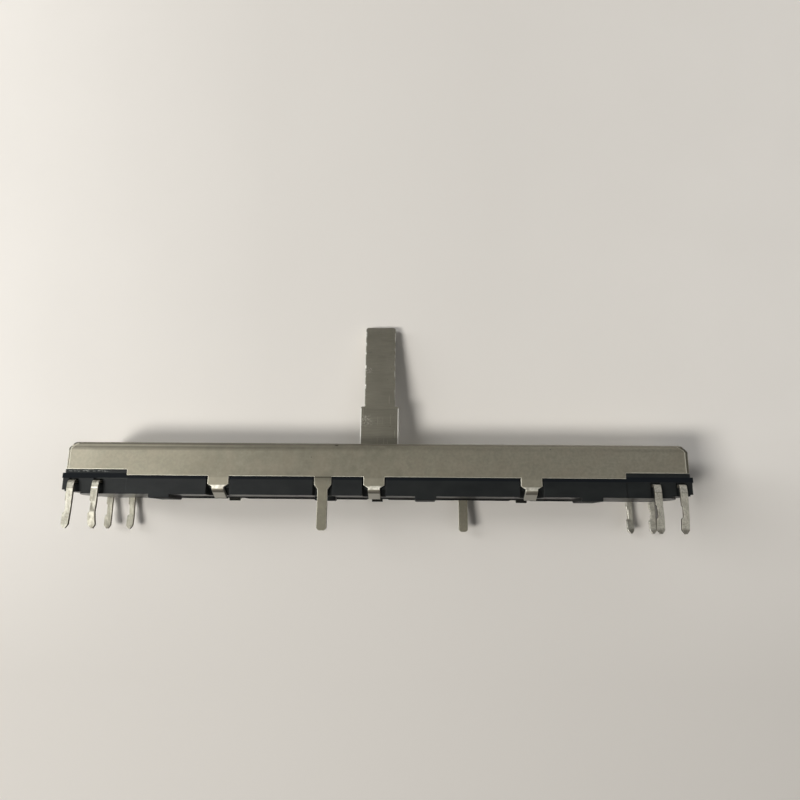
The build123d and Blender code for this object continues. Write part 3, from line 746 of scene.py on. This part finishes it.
def lever_finish():
    """Darker steel blade: brushing across it, specks, long scratches, scuffs, and painted highlights on
    its sides and edges.
    """
    finish = Finish("lever_steel", STEEL_LIGHT)
    lower = finish.up_to(finish.z, LEVER_STEP - 0.3 * MM, blur=0.1 * MM)
    painted_light_mask = lever_edge_highlights(finish, lower)
    brushing = finish.noise(0.09 * MM, stretch=(25, 25, 1))
    brushed = finish.span(brushing, 0.3, 0.7)
    scratches = finish.cloud(0.16 * MM, low=0.70, high=0.74, detail=1.0, stretch=(1, 1, 22))
    nicks = finish.cloud(0.35 * MM, low=0.70, high=0.74, detail=4.0, roughness=0.7)
    scuffs = finish.both(
        finish.band(finish.x, *SCUFF_ALONG, blur=0.3 * MM),
        finish.either(
            finish.band(finish.z, *SCUFF_HIGH, blur=0.2 * MM),
            finish.band(finish.z, *SCUFF_LOW, blur=0.4 * MM),
        ),
        finish.cloud(0.16 * MM, low=0.50, high=0.62, detail=5.0, roughness=0.75),
    )
    rounded = finish.rounded(SHEET_EDGE)
    finish.tint(STEEL_DARK, finish.cloud(2.5 * MM, low=0.35, high=0.65))
    finish.tint(STEEL_BRUSHED, brushed, amount=0.5)
    finish.tint(STEEL_LOWER, lower, amount=0.25)
    finish.tint(STEEL_ROOT, lower, finish.span(finish.z, *ROOT_FADE), amount=0.5)
    finish.tint(STEEL_SCRATCH, scratches, amount=0.35)
    finish.tint(STEEL_NICK, nicks, amount=0.50)
    finish.tint(STEEL_SCUFF_AND_SIDE_HIGHLIGHT, scuffs, amount=0.6)
    finish.tint(STEEL_SPECK, finish.specks(0.9 * MM, core=0.04, edge=0.08), amount=0.6)
    # Painted highlight on the blade's sides
    finish.tint(STEEL_SCUFF_AND_SIDE_HIGHLIGHT, finish.span(finish.absolute(finish.facing_x), *TO_THE_SIDE), amount=0.6)
    # Painted highlights on the rounded edges, and stronger, not metal, on the face's edges
    finish.tint(STEEL_EDGE_HIGHLIGHT, finish.edges(rounded), amount=0.6)
    finish.tint(STEEL_FACE_EDGE_HIGHLIGHT, painted_light_mask, amount=0.95)
    finish.set("Metallic", finish.outside(painted_light_mask))
    finish.set("Roughness", finish.between(brushed, *LEVER_ROUGHNESS))
    finish.set("Normal", finish.bump(brushing, LEVER_GRAIN_DEPTH, rounded))
    return finish.finished()


# Terminals: colours of their tin plate, and of painted light, shade, highlights and glints on them
TIN_LIGHT = (0.495, 0.480, 0.408)
TIN_STREAK = (0.324, 0.310, 0.252)
TIN_PAINTED_LIGHT = (0.70, 0.68, 0.60)
TIN_PATCH = (0.25, 0.235, 0.19)
TIN_GRIT = (0.66, 0.645, 0.57)
TIN_SHADE = (0.20, 0.19, 0.15)
TIN_UPPER_RIGHT_LIGHT = (0.72, 0.70, 0.62)
TIN_FOLD_SHADE = (0.10, 0.09, 0.07)
TIN_FOLD_HIGHLIGHT = (0.92, 0.90, 0.82)
TIN_SPECKLE_AND_SHADE = (0.16, 0.15, 0.12)
TIN_POINT = (0.12, 0.11, 0.09)
TIN_SIDE_SHADE = (0.17, 0.155, 0.12)
TIN_GLINT = (0.95, 0.93, 0.86)
TIN_EDGE_HIGHLIGHT = (0.68, 0.66, 0.58)

# Terminals: the fold under the base, the points, and fades from the left pins to the right ones for
# painted light, painted shade and speckle
FOLD_LINE = -5.68 * MM
FOLD_HALF = 0.03 * MM
POINT_START = -9.6 * MM
PAINTED_LIGHT_FADE = (-34 * MM, 34 * MM)
UPPER_SHADE_FADE = (-10 * MM, 10 * MM)
SPECKLE_FADE = (5 * MM, 30 * MM)
SIDE_BLUR = 1.0 * MM

# Terminals: the second front one, with a painted highlight on its fold, and painted shade as a dark streak
# and on a slanting facet
SECOND_X = -33.1 * MM
SECOND_ALONG = (SECOND_X - 0.7 * MM, SECOND_X + 0.7 * MM)
SECOND_FOLD = (FOLD_LINE, FOLD_LINE + 0.14 * MM)
STREAK_ALONG = (SECOND_X + 0.02 * MM, SECOND_X + 0.24 * MM)
STREAK_LEVEL = (-7.15 * MM, -5.95 * MM)
FACET_SLANT = 0.5
FACET_ALONG = (-37.3 * MM, -36.95 * MM)
FACET_LEVEL = (-8.35 * MM, -7.45 * MM)
TERMINAL_ROUGHNESS = (0.52, 0.66)
GLINT_TURN = (-0.10, -0.28)
GLINT_SMOOTHING = 0.32
DENT_DEPTH = 0.05 * MM


def second_terminal_shade(finish, second):
    """A mask of painted shade on the second front terminal: a dark streak and a dark facet."""
    streak = finish.both(
        finish.band(finish.x, *STREAK_ALONG, blur=0.10 * MM),
        finish.band(finish.z, *STREAK_LEVEL, blur=0.15 * MM),
    )
    slanting = finish.add(finish.x, finish.both(finish.z, FACET_SLANT))
    facet = finish.both(
        finish.band(slanting, *FACET_ALONG, blur=0.12 * MM),
        finish.band(finish.z, *FACET_LEVEL, blur=0.15 * MM),
    )
    return finish.both(second, finish.either(streak, facet))


def terminal_finish():
    """Tin plate with dents and streaks on the faces, darker points, painted shade on the sheared sides and
    folds, painted light and shade by place, and painted highlights and glints.
    """
    finish = Finish("terminal_plate", TIN_LIGHT)
    streaks = finish.cloud(0.26 * MM, low=0.38, high=0.62, stretch=(1, 1, 6))
    patches = finish.cloud(0.7 * MM, low=0.40, high=0.60)
    grit = finish.cloud(0.18 * MM, low=0.38, high=0.62, roughness=0.65)
    speckle = finish.cloud(0.13 * MM, low=0.46, high=0.56, detail=4.0, roughness=0.7)
    dents = finish.noise(0.40 * MM, detail=2.0, stretch=(1, 1, 1.5))
    rear = finish.past(finish.y, 0.0, SIDE_BLUR)
    left = finish.below(finish.x, 0.0, SIDE_BLUR)
    right = finish.past(finish.x, 0.0, SIDE_BLUR)
    rear_right = finish.both(rear, right)
    rounded = finish.rounded(finish.between(rear_right, PIN_EDGE, REAR_PIN_EDGE))
    glint = finish.both(
        rear_right,
        finish.span(finish.split(rounded)[0], *GLINT_TURN),
        finish.cloud(0.5 * MM, low=0.36, high=0.46, detail=2.0),
    )
    second = finish.both(
        finish.band(finish.x, *SECOND_ALONG, blur=0.1 * MM),
        finish.below(finish.y, 0.0, SIDE_BLUR),
    )
    others = finish.outside(second)
    fold_shade = finish.band(finish.z, FOLD_LINE - FOLD_HALF, FOLD_LINE + FOLD_HALF, blur=0.04 * MM)
    fold_highlight = finish.band(finish.z, *SECOND_FOLD, blur=0.04 * MM)
    upper = finish.both(finish.past(finish.z, FOLD_LINE, blur=0.1 * MM), others)
    point = finish.below(finish.z, POINT_START, blur=0.5 * MM)
    finish.tint(TIN_STREAK, streaks)
    # Painted light, stronger towards the right pins
    finish.tint(TIN_PAINTED_LIGHT, finish.span(finish.x, *PAINTED_LIGHT_FADE), amount=0.70)
    finish.tint(TIN_PATCH, patches, amount=0.40)
    finish.tint(TIN_GRIT, grit, amount=0.38)
    # Painted shade on the rear left pins and on the upper parts, and painted light on the right pins'
    # upper parts
    finish.tint(TIN_SHADE, rear, left, amount=0.55)
    finish.tint(TIN_SHADE, upper, finish.span(finish.x, *UPPER_SHADE_FADE, to_low=0.20, to_high=0.0))
    finish.tint(TIN_UPPER_RIGHT_LIGHT, upper, right, amount=0.7)
    # Painted shade in the fold, and a painted highlight on the second pin's fold
    finish.tint(TIN_FOLD_SHADE, fold_shade, others, amount=0.45)
    finish.tint(TIN_FOLD_HIGHLIGHT, fold_highlight, second, amount=0.8)
    # Painted shade on the second pin's streak and facet
    finish.tint(TIN_SPECKLE_AND_SHADE, second_terminal_shade(finish, second), amount=0.6)
    finish.tint(TIN_POINT, point, patches, amount=0.45)
    finish.tint(TIN_POINT, point, right, amount=0.45)
    finish.tint(TIN_SPECKLE_AND_SHADE, speckle, finish.span(finish.x, *SPECKLE_FADE, to_low=0.10, to_high=0.42))
    # Painted shade on the sheared sides
    finish.tint(TIN_SIDE_SHADE, finish.span(finish.absolute(finish.facing_x), *TO_THE_SIDE), amount=0.75)
    finish.tint(TIN_GLINT, glint)
    # Painted highlight on the rounded edges
    finish.tint(TIN_EDGE_HIGHLIGHT, finish.edges(rounded), amount=0.5)
    dullness = finish.span(finish.add(streaks, patches), 0.0, 2.0, *TERMINAL_ROUGHNESS)
    finish.set("Metallic", 1.0)
    finish.set("Roughness", finish.subtract(dullness, finish.both(glint, GLINT_SMOOTHING)))
    finish.set("Normal", finish.bump(dents, DENT_DEPTH, rounded))
    return finish.finished()


# Base: colours of its moulding, and of painted highlights on its edges and lip
BASE_DARK = (0.0075, 0.0092, 0.0095)
BASE_LIGHT = (0.013, 0.015, 0.0148)
BASE_LIP = (0.0050, 0.0068, 0.0095)
BASE_DUST = (0.20, 0.20, 0.19)
BASE_FLASH = (0.36, 0.37, 0.34)
BASE_LIP_HIGHLIGHT = (0.10, 0.11, 0.10)
BASE_EDGE_HIGHLIGHT = (0.12, 0.125, 0.12)

# Base: its lip, the flash and a painted highlight on the lip's lower edge at its left end, and the smooth
# underside
LIP = (-4.46 * MM, -3.87 * MM)
FLASH_LEVEL = (SKIRT_END_FOOT - 0.24 * MM, SKIRT_END_FOOT - 0.04 * MM)
FLASH_ALONG = (-36.2 * MM, -32.3 * MM)
LIP_HIGHLIGHT_LEVEL = (LIP[0] - 0.03 * MM, LIP[0] + 0.01 * MM)
LIP_HIGHLIGHT_ALONG = (-33.0 * MM, -29.7 * MM)
UNDERSIDE_LEVEL = (UNDERSIDE - 0.1 * MM, UNDERSIDE + 0.2 * MM)
UNDERSIDE_TURN = (-0.9, -0.95)
DULL_HALF = 24.0 * MM
DULL_DEPTH_FADE = (-1.8 * MM, 0.2 * MM)
SMOOTH_FADE = (-14 * MM, 8 * MM)
BASE_ROUGHNESS = (0.80, 0.28)
BASE_SHINE = (0.03, 0.35)
SMOOTH_SHINE = 0.32
LIP_DULLNESS = 0.6
BASE_GRAIN_DEPTH = 0.006 * MM


def base_finish():
    """Bluish black moulding, dull, with dust, pale flash at one end, a smoother underside, and painted
    highlights on its edges and on the lip's lower edge at one end.
    """
    finish = Finish("base_moulding", BASE_DARK)
    lip = finish.band(finish.z, *LIP, blur=0.04 * MM)
    flakes = finish.both(
        finish.band(finish.z, *FLASH_LEVEL, blur=0.06 * MM),
        finish.band(finish.x, *FLASH_ALONG, blur=0.8 * MM),
        finish.cloud(0.13 * MM, low=0.52, high=0.60, detail=4.0, roughness=0.7, stretch=(2.0, 1, 1)),
    )
    lip_highlight = finish.both(
        finish.band(finish.z, *LIP_HIGHLIGHT_LEVEL, blur=0.03 * MM),
        finish.band(finish.x, *LIP_HIGHLIGHT_ALONG, blur=0.3 * MM),
    )
    rounded = finish.rounded(MOULDED_EDGE)
    finish.tint(BASE_LIGHT, finish.cloud(1.6 * MM, low=0.35, high=0.65, detail=4.0, stretch=(2, 1, 1)))
    finish.tint(BASE_LIP, lip, amount=0.8)
    finish.tint(BASE_DUST, finish.specks(0.7 * MM, core=0.02, edge=0.06), amount=0.10)
    finish.tint(BASE_FLASH, flakes, amount=0.65)
    # Painted highlight on the lip's lower edge
    finish.tint(BASE_LIP_HIGHLIGHT, lip_highlight, amount=0.5)
    # Painted highlight on the rounded edges
    finish.tint(BASE_EDGE_HIGHLIGHT, finish.edges(rounded), amount=0.10)
    bottom = finish.both(
        finish.span(finish.facing_z, *UNDERSIDE_TURN),
        finish.band(finish.z, *UNDERSIDE_LEVEL, blur=0.1 * MM),
    )
    dull = finish.both(
        bottom,
        finish.span(finish.y, *DULL_DEPTH_FADE),
        finish.up_to(finish.absolute(finish.x), DULL_HALF, blur=5.0 * MM),
    )
    smooth_part = finish.span(finish.x, *SMOOTH_FADE, to_low=0.9, to_high=0.55)
    smooth = finish.both(finish.subtract(bottom, dull), smooth_part)
    level = finish.subtract(smooth, finish.add(dull, finish.both(lip, LIP_DULLNESS)))
    shine = finish.span(level, -1.0, 1.0, *BASE_SHINE)
    finish.set("Roughness", finish.span(level, -1.0, 1.0, *BASE_ROUGHNESS))
    finish.set("Specular IOR Level", finish.add(shine, finish.both(smooth, SMOOTH_SHINE)))
    finish.set("Normal", finish.bump(finish.noise(0.10 * MM, detail=2.0), BASE_GRAIN_DEPTH, rounded))
    return finish.finished()


# Inner pieces: a light and a dark shade of each material, and its roughness
CARRIAGE_SHADES = ((0.70, 0.69, 0.64), (0.62, 0.61, 0.56), 0.45)
BOARD_SHADES = ((0.30, 0.17, 0.08), (0.24, 0.13, 0.06), 0.6)
CARBON_SHADES = ((0.02, 0.02, 0.02), (0.03, 0.03, 0.03), 0.5)
SILVER_SHADES = ((0.55, 0.55, 0.53), (0.48, 0.48, 0.46), 0.4)
PLAIN_GRAIN_DEPTH = 0.004 * MM
WIPER_LIGHT = (0.75, 0.58, 0.36)
WIPER_DARK = (0.62, 0.46, 0.27)
WIPER_ROUGHNESS = (0.25, 0.38)


def plain_moulding(name, light, dark, roughness):
    """A moulded or printed inner piece."""
    finish = Finish(name, light)
    finish.tint(dark, finish.cloud(1.2 * MM, low=0.35, high=0.65))
    finish.set("Roughness", roughness)
    finish.set("Normal", finish.bump(finish.noise(0.12 * MM, detail=2.0), PLAIN_GRAIN_DEPTH))
    return finish.finished()


def wiper_finish():
    """Spring alloy leaf."""
    finish = Finish("wiper_alloy", WIPER_LIGHT)
    streaks = finish.noise(0.2 * MM, stretch=(10, 1, 1))
    finish.tint(WIPER_DARK, finish.span(streaks, 0.35, 0.65))
    finish.set("Metallic", 1.0)
    finish.set("Roughness", finish.span(streaks, 0.3, 0.7, *WIPER_ROUGHNESS))
    return finish.finished()


def dress_nodes():
    """Gives every CAD node its finish, by the record's material slot."""
    finishes = {
        "cover_plate": cover_finish(),
        "base_moulding": base_finish(),
        "lever_steel": lever_finish(),
        "terminal_plate": terminal_finish(),
        "wiper_alloy": wiper_finish(),
        "carriage_moulding": plain_moulding("carriage_moulding", *CARRIAGE_SHADES),
        "board_laminate": plain_moulding("board_laminate", *BOARD_SHADES),
        "carbon_print": plain_moulding("carbon_print", *CARBON_SHADES),
        "silver_print": plain_moulding("silver_print", *SILVER_SHADES),
    }
    for part in frame["record"]["subparts"]:
        for slot in nodes[part["node"]].material_slots:
            slot.material = finishes[part["material_slot"]]


scene.view_settings.view_transform = "Standard"
add_camera()
add_stage()
dress_nodes()
